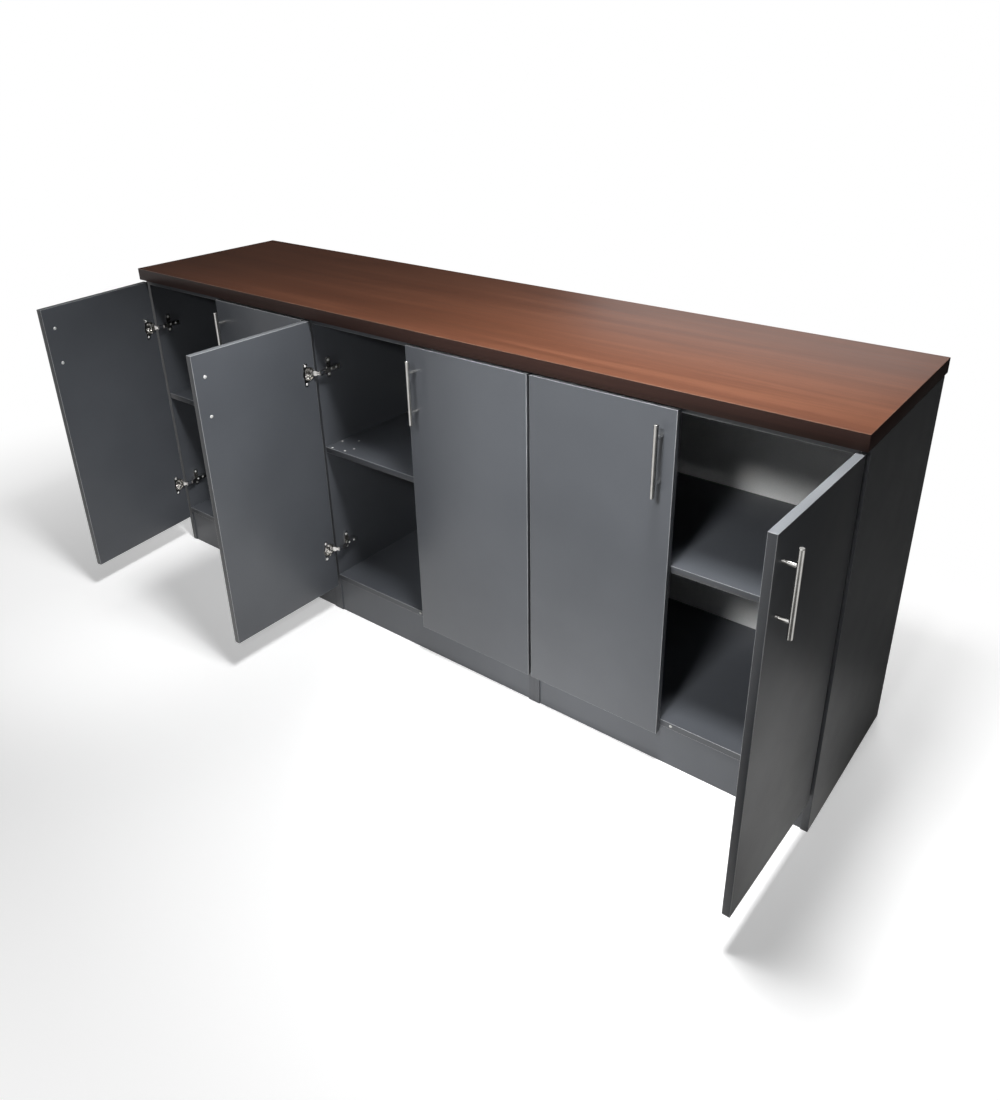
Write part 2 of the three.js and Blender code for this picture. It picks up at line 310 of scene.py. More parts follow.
def add_bevel(holder, width, segments=ARRIS_STEPS, material=KEEP_FINISH):
    """A bevel on the sharp edges."""
    bevel = holder.modifiers.new("arris", "BEVEL")
    bevel.width = width
    bevel.segments = segments
    bevel.limit_method = "ANGLE"
    bevel.angle_limit = SMOOTH_ANGLE
    bevel.material = material


def rounded(mesh, width, segments=ARRIS_STEPS, material=KEEP_FINISH):
    """Mesh data with its sharp edges rounded."""
    return with_modifiers(mesh, lambda holder: add_bevel(holder, width, segments, material))


def drop_normals(mesh):
    """Takes off the normals that came with a solid, so that shading follows its faces."""
    if "custom_normal" in mesh.attributes:
        mesh.attributes.remove(mesh.attributes["custom_normal"])


def shade(mesh):
    """Smooth shading with sharp corners kept."""
    mesh.polygons.foreach_set("use_smooth", [True] * len(mesh.polygons))
    mesh.set_sharp_from_angle(angle=SMOOTH_ANGLE)


def finish(mesh, materials, pick=None):
    """Materials on a mesh, with pick(normal) choosing each face's."""
    for material in materials:
        mesh.materials.append(material)
    if pick:
        for polygon in mesh.polygons:
            polygon.material_index = pick(polygon.normal)


def piece(name, mesh, materials, body, stands_for=()):
    """A new piece of the object on a body, which hides the solids that it stands for.

    A mesh that already has its finishes is given no materials here.
    """
    mesh.name = name
    if not mesh.materials:
        finish(mesh, materials)
    shade(mesh)
    thing = bpy.data.objects.new(name, mesh)
    bpy.context.scene.collection.objects.link(thing)
    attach(thing, body)
    if stands_for:
        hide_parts(*stands_for)


# Materials

def srgb(red, green, blue):
    """A colour as it looks on screen, 0 to 255, as the linear colour that shaders take."""
    def linear(value):
        value /= 255
        return value / 12.92 if value <= 0.04045 else ((value + 0.055) / 1.055) ** 2.4
    return (linear(red), linear(green), linear(blue), 1.0)


def grey(level):
    return (level, level, level, 1)


WHITE = grey(1)

# Noise of the finishes: scales are in cycles a metre, and stretches are the same along X, Y and Z
MELAMINE_CLOUD = {"scale": 3.0, "detail": 5}
MELAMINE_SPECKLE = {"scale": 900.0, "detail": 2}
MELAMINE_SHEEN = {"scale": 14.0}
MELAMINE_EMBOSS = {"scale": 1500.0, "detail": 1}
WOOD_FIGURE = {"stretch": (0.9, 16, 16), "detail": 7, "roughness": 0.58, "distortion": 0.9}
WOOD_STREAK = {"stretch": (2.6, 110, 110), "detail": 5, "roughness": 0.6, "distortion": 0.25}
WOOD_PORES = {"stretch": (24, 900, 900), "detail": 3, "roughness": 0.7}
METAL_TARNISH = {"scale": 60.0}
RUBBER_CLOUD = {"scale": 300.0}
RAW_GRAIN = {"scale": 1200.0}

# The spans of noise over which one colour turns into the next
CLOUD_SPAN = (0.35, 0.65)
PATCH_SPAN = (0.3, 0.7)
PORE_SPAN = (0.30, 0.46)

# Strengths of the speckle, the grain, the relief and the unevenness of the gloss
SPECKLE_COLOURS = (grey(0.93), grey(1.05))
STREAK_SHARE = 0.42
PORE_SHARE = 0.8
MELAMINE_RELIEF = (0.12, 0.02 * MM)
WOOD_RELIEF = (0.15, 0.03 * MM)
METAL_RELIEF = (0.06, 0.01 * MM)
MELAMINE_UNEVEN = (0.05, 0.06)
WOOD_UNEVEN = (0.05, 0.08)
METAL_UNEVEN = (0.06, 0.1)


class Nodes:
    """A new material's node tree, with short calls for what the finishes here share."""

    def __init__(self, name):
        self.material = bpy.data.materials.new(name)
        self.material.use_nodes = True
        self.tree = self.material.node_tree
        self.shader = self.tree.nodes["Principled BSDF"]
        self.place = self.add("ShaderNodeTexCoord").outputs["Object"]

    def add(self, kind, **settings):
        node = self.tree.nodes.new(kind)
        for key, value in settings.items():
            setattr(node, key, value)
        return node

    def link(self, output, socket):
        self.tree.links.new(output, socket)

    def scaled(self, scale):
        mapping = self.add("ShaderNodeMapping")
        mapping.inputs["Scale"].default_value = scale
        self.link(self.place, mapping.inputs["Vector"])
        return mapping.outputs["Vector"]

    def noise(self, scale=1.0, detail=4.0, roughness=0.5, distortion=0.0, stretch=(1, 1, 1)):
        noise = self.add("ShaderNodeTexNoise")
        noise.inputs["Scale"].default_value = scale
        noise.inputs["Detail"].default_value = detail
        noise.inputs["Roughness"].default_value = roughness
        noise.inputs["Distortion"].default_value = distortion
        self.link(self.scaled(stretch), noise.inputs["Vector"])
        return noise.outputs["Fac"]

    def ramp(self, factor, stops):
        ramp = self.add("ShaderNodeValToRGB")
        elements = ramp.color_ramp.elements
        while len(elements) < len(stops):
            elements.new(0.5)
        for element, (position, colour) in zip(elements, stops):
            element.position = position
            element.color = colour
        self.link(factor, ramp.inputs["Fac"])
        return ramp.outputs["Color"]

    def turned(self, factor, span, colours):
        """The first colour turned into the second over a span of the factor."""
        return self.ramp(factor, list(zip(span, colours)))

    def mixed(self, factor, first, second, blend="MIX"):
        mix = self.add("ShaderNodeMix", data_type="RGBA", blend_type=blend)
        sockets = (mix.inputs[0], mix.inputs[6], mix.inputs[7])
        for value, socket in zip((factor, first, second), sockets):
            if isinstance(value, bpy.types.NodeSocket):
                self.link(value, socket)
            else:
                socket.default_value = value
        return mix.outputs[2]

    def paint(self, colour):
        self.link(colour, self.shader.inputs["Base Color"])

    def gloss(self, factor, rough, uneven):
        """A roughness that the factor carries a little below and above its middle value."""
        spread = self.add("ShaderNodeMapRange")
        spread.inputs["To Min"].default_value = rough - uneven[0]
        spread.inputs["To Max"].default_value = rough + uneven[1]
        self.link(factor, spread.inputs["Value"])
        self.link(spread.outputs["Result"], self.shader.inputs["Roughness"])

    def bump(self, height, relief):
        bump = self.add("ShaderNodeBump")
        bump.inputs["Strength"].default_value, bump.inputs["Distance"].default_value = relief
        self.link(height, bump.inputs["Height"])
        self.link(bump.outputs["Normal"], self.shader.inputs["Normal"])

    def constant(self, socket, value):
        self.shader.inputs[socket].default_value = value


def melamine(name, light, dark, rough):
    """Satin melamine board: faint cloudiness, a fine print speckle and an embossed grain."""
    made = Nodes(name)
    base = made.turned(made.noise(**MELAMINE_CLOUD), CLOUD_SPAN, (dark, light))
    speckle = made.turned(made.noise(**MELAMINE_SPECKLE), PATCH_SPAN, SPECKLE_COLOURS)
    made.paint(made.mixed(1.0, base, speckle, "MULTIPLY"))
    made.gloss(made.noise(**MELAMINE_SHEEN), rough, MELAMINE_UNEVEN)
    made.bump(made.noise(**MELAMINE_EMBOSS), MELAMINE_RELIEF)
    return made.material


def wood(name, stops, pore_level, rough, sheen):
    """Reddish wood-grain laminate, its grain along X."""
    made = Nodes(name)
    streak = made.noise(**WOOD_STREAK)
    pores = made.noise(**WOOD_PORES)
    base = made.ramp(made.mixed(STREAK_SHARE, made.noise(**WOOD_FIGURE), streak), stops)
    shadow = made.turned(pores, PORE_SPAN, (grey(pore_level), WHITE))
    made.paint(made.mixed(PORE_SHARE, base, shadow, "MULTIPLY"))
    made.gloss(streak, rough, WOOD_UNEVEN)
    made.constant("Specular IOR Level", sheen)
    made.bump(pores, WOOD_RELIEF)
    return made.material


def metal(name, bright, dull, rough, brushed, metallic=1.0):
    """Metal with a faint tarnish; brushed gives the stretch of its fine lines."""
    made = Nodes(name)
    made.constant("Metallic", metallic)
    made.paint(made.turned(made.noise(**METAL_TARNISH), PATCH_SPAN, (dull, bright)))
    lines = made.noise(detail=2, stretch=brushed)
    made.gloss(lines, rough, METAL_UNEVEN)
    made.bump(lines, METAL_RELIEF)
    return made.material


def plain(name, grain, dark, light, rough, transmission=0.0):
    """A plain patchy finish."""
    made = Nodes(name)
    made.paint(made.turned(made.noise(**grain), PATCH_SPAN, (dark, light)))
    made.constant("Roughness", rough)
    made.constant("Transmission Weight", transmission)
    return made.material


FACE = melamine("melamine_face", srgb(86, 89, 94), srgb(79, 82, 87), 0.33)
# Edges painted darker than the faces, as painted shade
SHADED_EDGE = melamine("melamine_shaded_edge_band", srgb(76, 78, 82), srgb(69, 71, 75), 0.36)
# Arrises painted much lighter than the faces: a painted highlight along the edges, with a little
# wear
ARRIS_WEAR_AND_HIGHLIGHT = melamine("melamine_arris_wear_and_highlight", srgb(168, 170, 172), srgb(146, 148, 151), 0.3)
# Door tops painted lighter, as painted light from above
LIT_TOP_BAND = melamine("melamine_painted_lit_top_band", srgb(132, 135, 139), srgb(121, 124, 128), 0.36)
BACK = melamine("back_board", srgb(244, 244, 243), srgb(236, 236, 235), 0.6)
TOP_STOPS = [
    (0.28, srgb(90, 55, 39)),
    (0.46, srgb(104, 64, 46)),
    (0.58, srgb(116, 73, 53)),
    (0.76, srgb(130, 84, 62)),
]
EDGING_STOPS = [(0.3, srgb(38, 24, 20)), (0.5, srgb(49, 31, 26)), (0.72, srgb(58, 38, 32))]
# The worktop's upward arrises painted lighter, as a painted highlight
ARRIS_HIGHLIGHT_STOPS = [(0.30, srgb(96, 66, 52)), (0.5, srgb(124, 88, 70)), (0.75, srgb(150, 112, 92))]
TOP = wood("worktop_laminate", TOP_STOPS, 0.62, 0.36, 0.5)
EDGING = wood("worktop_edging", EDGING_STOPS, 0.7, 0.5, 0.2)
TOP_ARRIS_HIGHLIGHT = wood("worktop_arris_highlight", ARRIS_HIGHLIGHT_STOPS, 0.8, 0.4, 0.5)
NICKEL = metal("hinge_nickel", srgb(236, 235, 233), srgb(216, 214, 211), 0.15, (90, 90, 90))
STEEL = metal("handle_steel", srgb(232, 231, 228), srgb(214, 212, 208), 0.16, (60, 60, 1800))
SCREW = metal("screw_zinc", srgb(246, 246, 245), srgb(236, 236, 234), 0.36, (120, 120, 120), 0.3)
RUBBER = plain("clear_rubber", RUBBER_CLOUD, srgb(190, 190, 186), srgb(224, 224, 220), 0.3, 0.3)
RAW = plain("raw_board", RAW_GRAIN, srgb(232, 230, 226), srgb(248, 247, 245), 0.9)
WORKTOP_FINISHES = [TOP, EDGING, TOP_ARRIS_HIGHLIGHT]
BOARD_FINISHES = [FACE, SHADED_EDGE, ARRIS_WEAR_AND_HIGHLIGHT]
SIDE_FINISHES = [FACE, SHADED_EDGE]
DOOR_FINISHES = [FACE, SHADED_EDGE, ARRIS_WEAR_AND_HIGHLIGHT, LIT_TOP_BAND]


# Boards. The worktop and the shelves are made again, and the carcass keeps its other solids

def dress_solid(name, materials, pick, arris_width, arris):
    """Finishes on a solid's faces, chosen by pick(normal), and a small arris on its edges."""
    solid = nodes[name]
    solid.data.materials.clear()
    finish(solid.data, materials, pick)
    for polygon in solid.data.polygons:
        polygon.use_smooth = False
    drop_normals(solid.data)
    add_weld(solid)
    add_bevel(solid, arris_width, material=arris)


def front_is_edge(normal):
    return ON_EDGE if normal.y < -FACING else ON_FACE


def worktop_finish(normal):
    if normal.z > LEVEL:
        return ON_FACE
    return ON_ARRIS if normal.z > SLOPING else ON_EDGE


def always_face(_normal):
    return ON_FACE


def worktop_mesh():
    """The worktop with rounded edges."""
    low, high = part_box("worktop")
    mesh = rounded(box_mesh("worktop", low, high), WORKTOP_ARRIS)
    finish(mesh, WORKTOP_FINISHES, worktop_finish)
    return mesh


def shelf_mesh(unit):
    """A shelf that stops short of the back."""
    low, high = (Vector(corner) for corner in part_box(f"unit_{unit}_shelf"))
    high.y -= SHELF_REAR_GAP
    mesh = box_mesh("shelf", low, high)
    finish(mesh, BOARD_FINISHES, front_is_edge)
    return rounded(mesh, BOARD_ARRIS, material=ON_ARRIS)


piece("worktop_board", worktop_mesh(), [], "carcass", ("worktop",))
for unit in UNITS:
    label = f"unit_{unit}"
    for board in ("bottom", "top_panel"):
        dress_solid(f"{label}_{board}", BOARD_FINISHES, front_is_edge, BOARD_ARRIS, ON_ARRIS)
    for board in ("left_side", "right_side"):
        dress_solid(f"{label}_{board}", SIDE_FINISHES, front_is_edge, BOARD_ARRIS, ON_EDGE)
    dress_solid(f"{label}_plinth", [FACE], always_face, BOARD_ARRIS, ON_FACE)
    dress_solid(f"{label}_back", [BACK], always_face, BOARD_ARRIS, ON_FACE)
    piece(f"{label}_shelf_board", shelf_mesh(unit), [], "carcass",
          (f"{label}_shelf",))


# Doors, drawn about the hinge axis for a left-hung door with the free edge towards +X

JOINTS = {joint["name"]: joint for joint in frame["joints"]}


def swing_of(door):
    return JOINTS[f"door_{door}_swing"]


def hand_of(door):
    """1 for a door hung on the left, -1 for one hung on the right."""
    return -swing_of(door)["axis"][2]


def door_place(door):
    """From the door drawing to the door as it stands at rest."""
    joint = swing_of(door)
    hand = hand_of(door)
    opened = math.radians(-joint["range_deg"][0])
    axis = Vector((joint["pos_m"][0], joint["pos_m"][1], 0))
    turn = Matrix.Rotation(-hand * opened, 4, "Z")
    return Matrix.Translation(axis) @ turn @ Matrix.Diagonal((hand, 1, 1, 1))


door_low, door_high = (Vector(corner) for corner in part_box(f"door_{CLOSED_LEFT_DOOR}"))
handle_low, handle_high = (
    Vector(corner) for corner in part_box(f"door_{CLOSED_LEFT_DOOR}_handle"))
axis_x, axis_y = swing_of(CLOSED_LEFT_DOOR)["pos_m"][:2]
DOOR_EDGE = door_low.x - axis_x
DOOR_FREE = door_high.x - axis_x
DOOR_FRONT = door_low.y - axis_y
DOOR_INNER = DOOR_FRONT + DOOR_THICKNESS
DOOR_BOTTOM = door_low.z
DOOR_TOP = door_high.z
HANDLE_X = (handle_low.x + handle_high.x) / 2 - axis_x
HANDLE_Z = (handle_low.z + handle_high.z) / 2
HANDLE_LENGTH = handle_high.z - handle_low.z

# Turns that point a drawing's +Z to the front, the rear, the right or the left
TO_FRONT = Matrix.Rotation(math.radians(90), 4, "X")
TO_REAR = Matrix.Rotation(math.radians(-90), 4, "X")
TO_RIGHT = Matrix.Rotation(math.radians(90), 4, "Y")
TO_LEFT = Matrix.Rotation(math.radians(-90), 4, "Y")


def hinge_height(place):
    low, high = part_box(f"door_{CLOSED_LEFT_DOOR}_{place}_hinge_arm")
    return (low[2] + high[2]) / 2


def cup_axis(place, depth):
    """Where a cup's axis meets a depth in the door drawing, +Z towards the inside."""
    centre = (DOOR_EDGE + CUP_INSET, depth, hinge_height(place))
    return Matrix.Translation(centre) @ TO_REAR


def post_axis(side, depth):
    """Where the axis of the upper (1) or lower (-1) handle post meets a depth."""
    return Matrix.Translation((HANDLE_X, depth, HANDLE_Z + side * HANDLE_CENTRES / 2))


def door_finish(normal):
    if abs(normal.y) > FACING:
        return ON_FACE
    return ON_TOP if normal.z > FACING else ON_EDGE


def panel_mesh():
    """Door panel with edge-banded sides in painted shade, a top and arrises in painted highlight,
    and the two bored cup pockets.
    """
    low = (DOOR_EDGE, DOOR_FRONT, DOOR_BOTTOM)
    high = (DOOR_FREE, DOOR_INNER, DOOR_TOP)
    mesh = box_mesh("panel", low, high)
    finish(mesh, DOOR_FINISHES, door_finish)
    mesh = rounded(mesh, DOOR_ARRIS, ROUND_STEPS, ON_ARRIS)
    for place in PLACES:
        cutter = drum_mesh("cutter", CUP_POCKET_RADIUS, 0, 2 * CUP_POCKET_DEPTH)
        cutter.transform(cup_axis(place, DOOR_INNER - CUP_POCKET_DEPTH))
        mesh = boolean(mesh, cutter, "DIFFERENCE")
    return mesh


def flange_mesh():
    """A hinge cup's winged flange, open over the cup."""
    ring = drum_mesh("ring", FLANGE_RADIUS, 0, FLANGE_THICKNESS)
    wings = slot_mesh("wings", WING_WIDTH, WING_LENGTH, FLANGE_THICKNESS)
    wings.transform(Matrix.Translation((FLANGE_SCREW_OFFSET, 0, 0)))
    mouth = drum_mesh("mouth", CUP_INNER_RADIUS, -FLANGE_THICKNESS, 2 * FLANGE_THICKNESS)
    flange = boolean(boolean(ring, wings, "UNION"), mouth, "DIFFERENCE")
    return rounded(flange, HINGE_ARRIS)


def bowl_mesh():
    """A hinge cup's thin bowl."""
    under = -CUP_DEPTH - (CUP_OUTER_RADIUS - CUP_INNER_RADIUS)
    profile = [
        (0, under),
        (CUP_OUTER_RADIUS, under),
        (CUP_OUTER_RADIUS, 0),
        (CUP_INNER_RADIUS, 0),
        (CUP_INNER_RADIUS, -CUP_DEPTH + CUP_FILLET),
        (CUP_INNER_RADIUS - CUP_FILLET, -CUP_DEPTH),
        (0, -CUP_DEPTH),
    ]
    return lathe_mesh("bowl", profile, ROUND_SIDES)


def cup_mesh():
    """Hinge cup with its flange and its pin's lugs, about its centre on the inner face, +Z out."""
    meshes = [flange_mesh(), bowl_mesh()]
    for side in SIDES:
        near, far = sorted((side * LUG_GAP, side * LUG_FAR))
        low = (LUG_INSET - CUP_INSET - LUG_INSET / 2, near, -CUP_DEPTH)
        high = (LUG_INSET - CUP_INSET, far, -LUG_BELOW_FACE)
        meshes.append(rounded(box_mesh("lug", low, high), 2 * HINGE_ARRIS, ROUND_STEPS))
    return joined("cup", meshes)


def screw_mesh(radius, height):
    """A domed screw head with a cross recess, +Z out."""
    foot = [(0, -height), (HEAD_FOOT * radius, -height), (radius, 0)]
    head = lathe_mesh("screw", foot + dome_profile(radius, height), SMALL_SIDES)
    half_length = RECESS_HALF_LENGTH * radius
    half_width = RECESS_HALF_WIDTH * radius
    for angle in RECESS_ANGLES:
        blade = box_mesh("blade", (-half_length, -half_width, RECESS_FLOOR * height),
                         (half_length, half_width, 2 * height))
        blade.transform(Matrix.Rotation(angle, 4, "Z"))
        head = boolean(head, blade, "DIFFERENCE")
    return head


def handle_mesh():
    """T-bar handle: a bar with chamfered ends on two posts."""
    half = HANDLE_LENGTH / 2
    rim = HANDLE_BAR_RADIUS - HANDLE_CHAMFER
    bar = [
        (0, -half),
        (rim, -half),
        (HANDLE_BAR_RADIUS, HANDLE_CHAMFER - half),
        (HANDLE_BAR_RADIUS, half - HANDLE_CHAMFER),
        (rim, half),
        (0, half),
    ]
    reach = HANDLE_STANDOFF - HANDLE_SEAT
    post = [
        (0, 0),
        (HANDLE_POST_RADIUS - HANDLE_POST_CHAMFER, 0),
        (HANDLE_POST_RADIUS, HANDLE_POST_CHAMFER),
        (HANDLE_POST_RADIUS, reach),
        (0, reach),
    ]
    handle = lathe_mesh("bar", bar, ROUND_SIDES)
    handle.transform(Matrix.Translation((HANDLE_X, DOOR_FRONT - HANDLE_STANDOFF, HANDLE_Z)))
    for side in SIDES:
        post_mesh = lathe_mesh("post", post, SMALL_SIDES)
        post_mesh.transform(post_axis(side, DOOR_FRONT - HANDLE_SEAT) @ TO_FRONT)
        handle = boolean(handle, post_mesh, "UNION")
    return handle


def handle_screws_mesh():
    """The two screw heads on the door's inner face that hold the handle."""
    head = screw_mesh(HANDLE_SCREW_RADIUS, HANDLE_SCREW_HEIGHT)
    places = [post_axis(side, DOOR_INNER) @ TO_REAR for side in SIDES]
    return repeated("handle_screws", head, places)


def cup_screws_mesh():
    """The two screws of a cup's wings, about the cup's centre on the inner face, +Z out."""
    head = screw_mesh(CUP_SCREW_RADIUS, CUP_SCREW_HEIGHT)
    places = []
    for side in SIDES:
        place = (FLANGE_SCREW_OFFSET, side * FLANGE_SCREW_CENTRES / 2, FLANGE_THICKNESS)
        places.append(Matrix.Translation(place))
    return repeated("cup_screws", head, places)


def arm_screws_mesh():
    """The plate's mounting screws and the arm's two adjusting screws.

    They are drawn from the side panel's front inner corner, at the height of the hinge.
    """
    plate_head = screw_mesh(PLATE_SCREW_RADIUS, PLATE_SCREW_HEIGHT)
    arm_head = screw_mesh(ARM_SCREW_RADIUS, ARM_SCREW_HEIGHT)
    heads = []
    for side in SIDES:
        place = (PLATE_THICKNESS, PLATE_SCREW_SETBACK, side * PLATE_SCREW_CENTRES / 2)
        heads.append(moved(plate_head, Matrix.Translation(place) @ TO_RIGHT))
    for setback in ARM_SCREW_SETBACKS:
        place = (ARM_HEIGHT, setback, 0)
        heads.append(moved(arm_head, Matrix.Translation(place) @ TO_RIGHT))
    return joined("arm_screws", heads)


def side_corner(door):
    """The front inner corner of the side panel that carries a door, with the door's hand."""
    unit = (door + 1) // 2
    hand = hand_of(door)
    low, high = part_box(f"unit_{unit}_{'left' if hand > 0 else 'right'}_side")
    corner = (high[0] if hand > 0 else low[0], low[1], 0)
    return Matrix.Translation(corner) @ Matrix.Diagonal((hand, 1, 1, 1))


def soften_link(holder):
    """Joined corners and small arrises on a link."""
    add_weld(holder)
    add_bevel(holder, LINK_ARRIS)


def broad_link_mesh(name, door):
    """A hinge link with its strap broadened between the two eyes, as pressed links are."""
    axis = Vector(JOINTS[f"door_{door}_links_turn"]["pos_m"])
    mesh = nodes[name].data.copy()
    drop_normals(mesh)
    mesh.materials.clear()
    middle = sum(vert.co.z for vert in mesh.vertices) / len(mesh.vertices)
    for vert in mesh.vertices:
        along = (vert.co - axis).to_2d().length
        share = max(0.0, 1 - ((along - LINK_MIDDLE) / LINK_HALF_STRAP) ** LINK_STEEPNESS)
        vert.co.z = middle + (vert.co.z - middle) * (1 + LINK_BROADER * share)
    return with_modifiers(mesh, soften_link)


PANEL = panel_mesh()
HANDLE = handle_mesh()
HANDLE_SCREWS = handle_screws_mesh()
CUP = cup_mesh()
CUP_SCREWS = cup_screws_mesh()
ARM_SCREWS = arm_screws_mesh()

for door in DOORS:
    body = f"door_{door}"
    on_door = door_place(door)
    piece(f"{body}_panel", moved(PANEL, on_door), [], body, (body,))
    piece(f"{body}_bar_handle", moved(HANDLE, on_door), [STEEL], body,
          (f"{body}_handle",))
    piece(f"{body}_handle_screws", moved(HANDLE_SCREWS, on_door), [SCREW], body)
    for place in PLACES:
        label = f"{body}_{place}"
        on_cup = on_door @ cup_axis(place, DOOR_INNER)
        on_side = side_corner(door) @ Matrix.Translation((0, 0, hinge_height(place)))
        piece(f"{label}_hinge_cup", moved(CUP, on_cup), [NICKEL], body)
        piece(f"{label}_cup_screws", moved(CUP_SCREWS, on_cup), [SCREW], body)
        piece(f"{label}_arm_screws", moved(ARM_SCREWS, on_side), [SCREW], "carcass")
        dress_solid(f"{label}_hinge_arm", [NICKEL], always_face, HINGE_ARRIS, KEEP_FINISH)
        link = f"{label}_hinge_link"
        piece(f"{label}_outer_link", broad_link_mesh(link, door), [NICKEL],
              f"hinge_links_{door}", (link,))


# Small pieces on the carcass

def shelf_pins_mesh(unit):
    """Four pins in the side panels that carry a shelf."""
    profile = [
        (0, 0),
        (PIN_RADIUS + PIN_COLLAR, 0),
        (PIN_RADIUS + PIN_COLLAR, PIN_COLLAR),
        (PIN_RADIUS, PIN_COLLAR),
        (PIN_RADIUS, PIN_LENGTH),
        (0, PIN_LENGTH),
    ]
    pin = lathe_mesh("pin", profile, SMALL_SIDES)
    shelf_low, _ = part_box(f"unit_{unit}_shelf")
    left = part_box(f"unit_{unit}_left_side")[1][0]
    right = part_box(f"unit_{unit}_right_side")[0][0]
    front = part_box(f"unit_{unit}_left_side")[0][1]
    height = shelf_low[2] - PIN_RADIUS - PIN_COLLAR
    places = []
    for setback in PIN_SETBACKS:
        for face, turn in ((left, TO_RIGHT), (right, TO_LEFT)):
            places.append(Matrix.Translation((face, front + setback, height)) @ turn)
    return repeated("shelf_pins", pin, places)


def bumpers_mesh(unit):
    """A clear bumper for each door on the front edge of a unit's bottom."""
    profile = [(0, 0), (BUMPER_RADIUS, 0)] + dome_profile(BUMPER_RADIUS, BUMPER_HEIGHT)
    bumper = lathe_mesh("bumper", profile, SMALL_SIDES)
    low, high = (Vector(corner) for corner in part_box(f"unit_{unit}_bottom"))
    middle = (low + high) / 2
    places = []
    for side in SIDES:
        place = (middle.x + side * BUMPER_OFFSET, low.y, middle.z)
        places.append(Matrix.Translation(place) @ TO_FRONT)
    return repeated("bumpers", bumper, places)


def shelf_marks_mesh(unit):
    """Small bare marks near a shelf's front left corner."""
    profile = [(0, 0), (MARK_RADIUS, 0), (MARK_TOP_SHARE * MARK_RADIUS, MARK_HEIGHT),
               (0, MARK_HEIGHT)]
    mark = lathe_mesh("mark", profile, SMALL_SIDES)
    low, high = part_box(f"unit_{unit}_shelf")
    places = []
    for across, back in SHELF_MARKS:
        place = (low[0] + across * MM, low[1] + back * MM, high[2])
        places.append(Matrix.Translation(place))
    return repeated("marks", mark, places)


for unit in UNITS:
    label = f"unit_{unit}"
    piece(f"{label}_shelf_pins", shelf_pins_mesh(unit), [NICKEL], "carcass")
    piece(f"{label}_door_bumpers", bumpers_mesh(unit), [RUBBER], "carcass")
piece(f"unit_{MARKED_UNIT}_shelf_marks", shelf_marks_mesh(MARKED_UNIT), [RAW], "carcass")


# Stage, light and camera

EVEN = (1, 1, 1)
FLOOR_SIZE = 60.0
FLOOR_COLOUR = grey(0.86)
FLOOR_GLOW = 0.42
FLOOR_ROUGHNESS = 0.9
# Light that the floor throws back: most in front, and less to the right
BOUNCE_SPAN = (-0.2, 0.4)
BOUNCE_LEVELS = (0.85, 0.1)
BOUNCE_GLOW = 0.28
BOUNCE_TINT = (1, 0.97, 0.92, 1)
SIDE_SPAN = (1.0, 1.35)
SIDE_LEVELS = (1, 0.7)
# How bright the floor shows in glossy faces: less to the rear, and less beside the right end's foot
# as a painted shadow
MIRROR_SPAN = (0.3, 0.65)
MIRROR_LEVELS = (0.46, 0)
FOOT_MIDDLE = (1.0, 0.38, 0)
FOOT_STRETCH = (1.5, 0.75, 1)
FOOT_SPAN = (0.14, 0.3)
FOOT_LEVELS = (0.2, 1)
# Painted shade on the floor below the camera, for both
SHADE_MIDDLE = (1.45, -1.15, 0)
SHADE_SPAN = (0.55, 1.15)
SHADE_LEVELS = (0.05, 1)
# Where the floor turns plain white
FADE_MIDDLE = (0.05, -0.1, 0)
FADE_STRETCH = (0.62, 1, 1)
FADE_SPAN = (0.85, 1.6)
# The surroundings: their light, and the directions in which they show white in glossy faces
AMBIENT = 0.04
GLOSS_SPAN_Y = (-0.1, 0.25)
GLOSS_SPAN_X = (0.1, 0.6)
RISING = (0, 1)
FALLING = (1, 0)
# Lights: sizes in metres, powers in watts, angles in degrees
KEY = {"place": (0.74, -0.335, 2.4), "aim": (0.78, -0.2, 0.6),
       "size": 0.35, "power": 19, "spread": 115}
FRONT = {"place": (0.8, -2.58, 2.61), "aim": (0.47, -0.03, 0.47),
         "radius": 0.34, "power": 430, "cone": 19, "blend": 0.4}
LEFT = {"place": (1.2, -0.6, 3.0), "aim": (-0.5, -0.4, 0.78),
        "radius": 0.2, "power": 240, "cone": 26, "blend": 1.0}
FILL = {"place": (1.3, -1.55, 1.62), "aim": (-0.4, 0.05, 0.5),
        "radius": 0.05, "power": 38, "cone": 30, "blend": 0.6}
BACK_LIGHT = {"place": (-0.8, 5.0, 2.5), "aim": (0.4, 0.2, 0.9),
              "size": 3.2, "power": 17, "spread": 160}
REAR_FILL = {"place": (0.0, 3.4, 1.3), "aim": (0.0, 0.4, 0.5),
             "size": 1.8, "power": 28, "spread": 120}


def maths(tree, operation, first, second):
    """A sum on two values or sockets."""
    node = tree.nodes.new("ShaderNodeMath")
    node.operation = operation
    for value, socket in zip((first, second), node.inputs):
        if isinstance(value, bpy.types.NodeSocket):
            tree.links.new(value, socket)
        else:
            socket.default_value = value
    return node.outputs["Value"]


def product(tree, first, second):
    return maths(tree, "MULTIPLY", first, second)


def ranged(tree, value, span, levels):
    """A value eased from the first level to the second over a span."""
    node = tree.nodes.new("ShaderNodeMapRange")
    node.interpolation_type = "SMOOTHSTEP"
    node.inputs["From Min"].default_value, node.inputs["From Max"].default_value = span
    node.inputs["To Min"].default_value, node.inputs["To Max"].default_value = levels
    tree.links.new(value, node.inputs["Value"])
    return node.outputs["Result"]


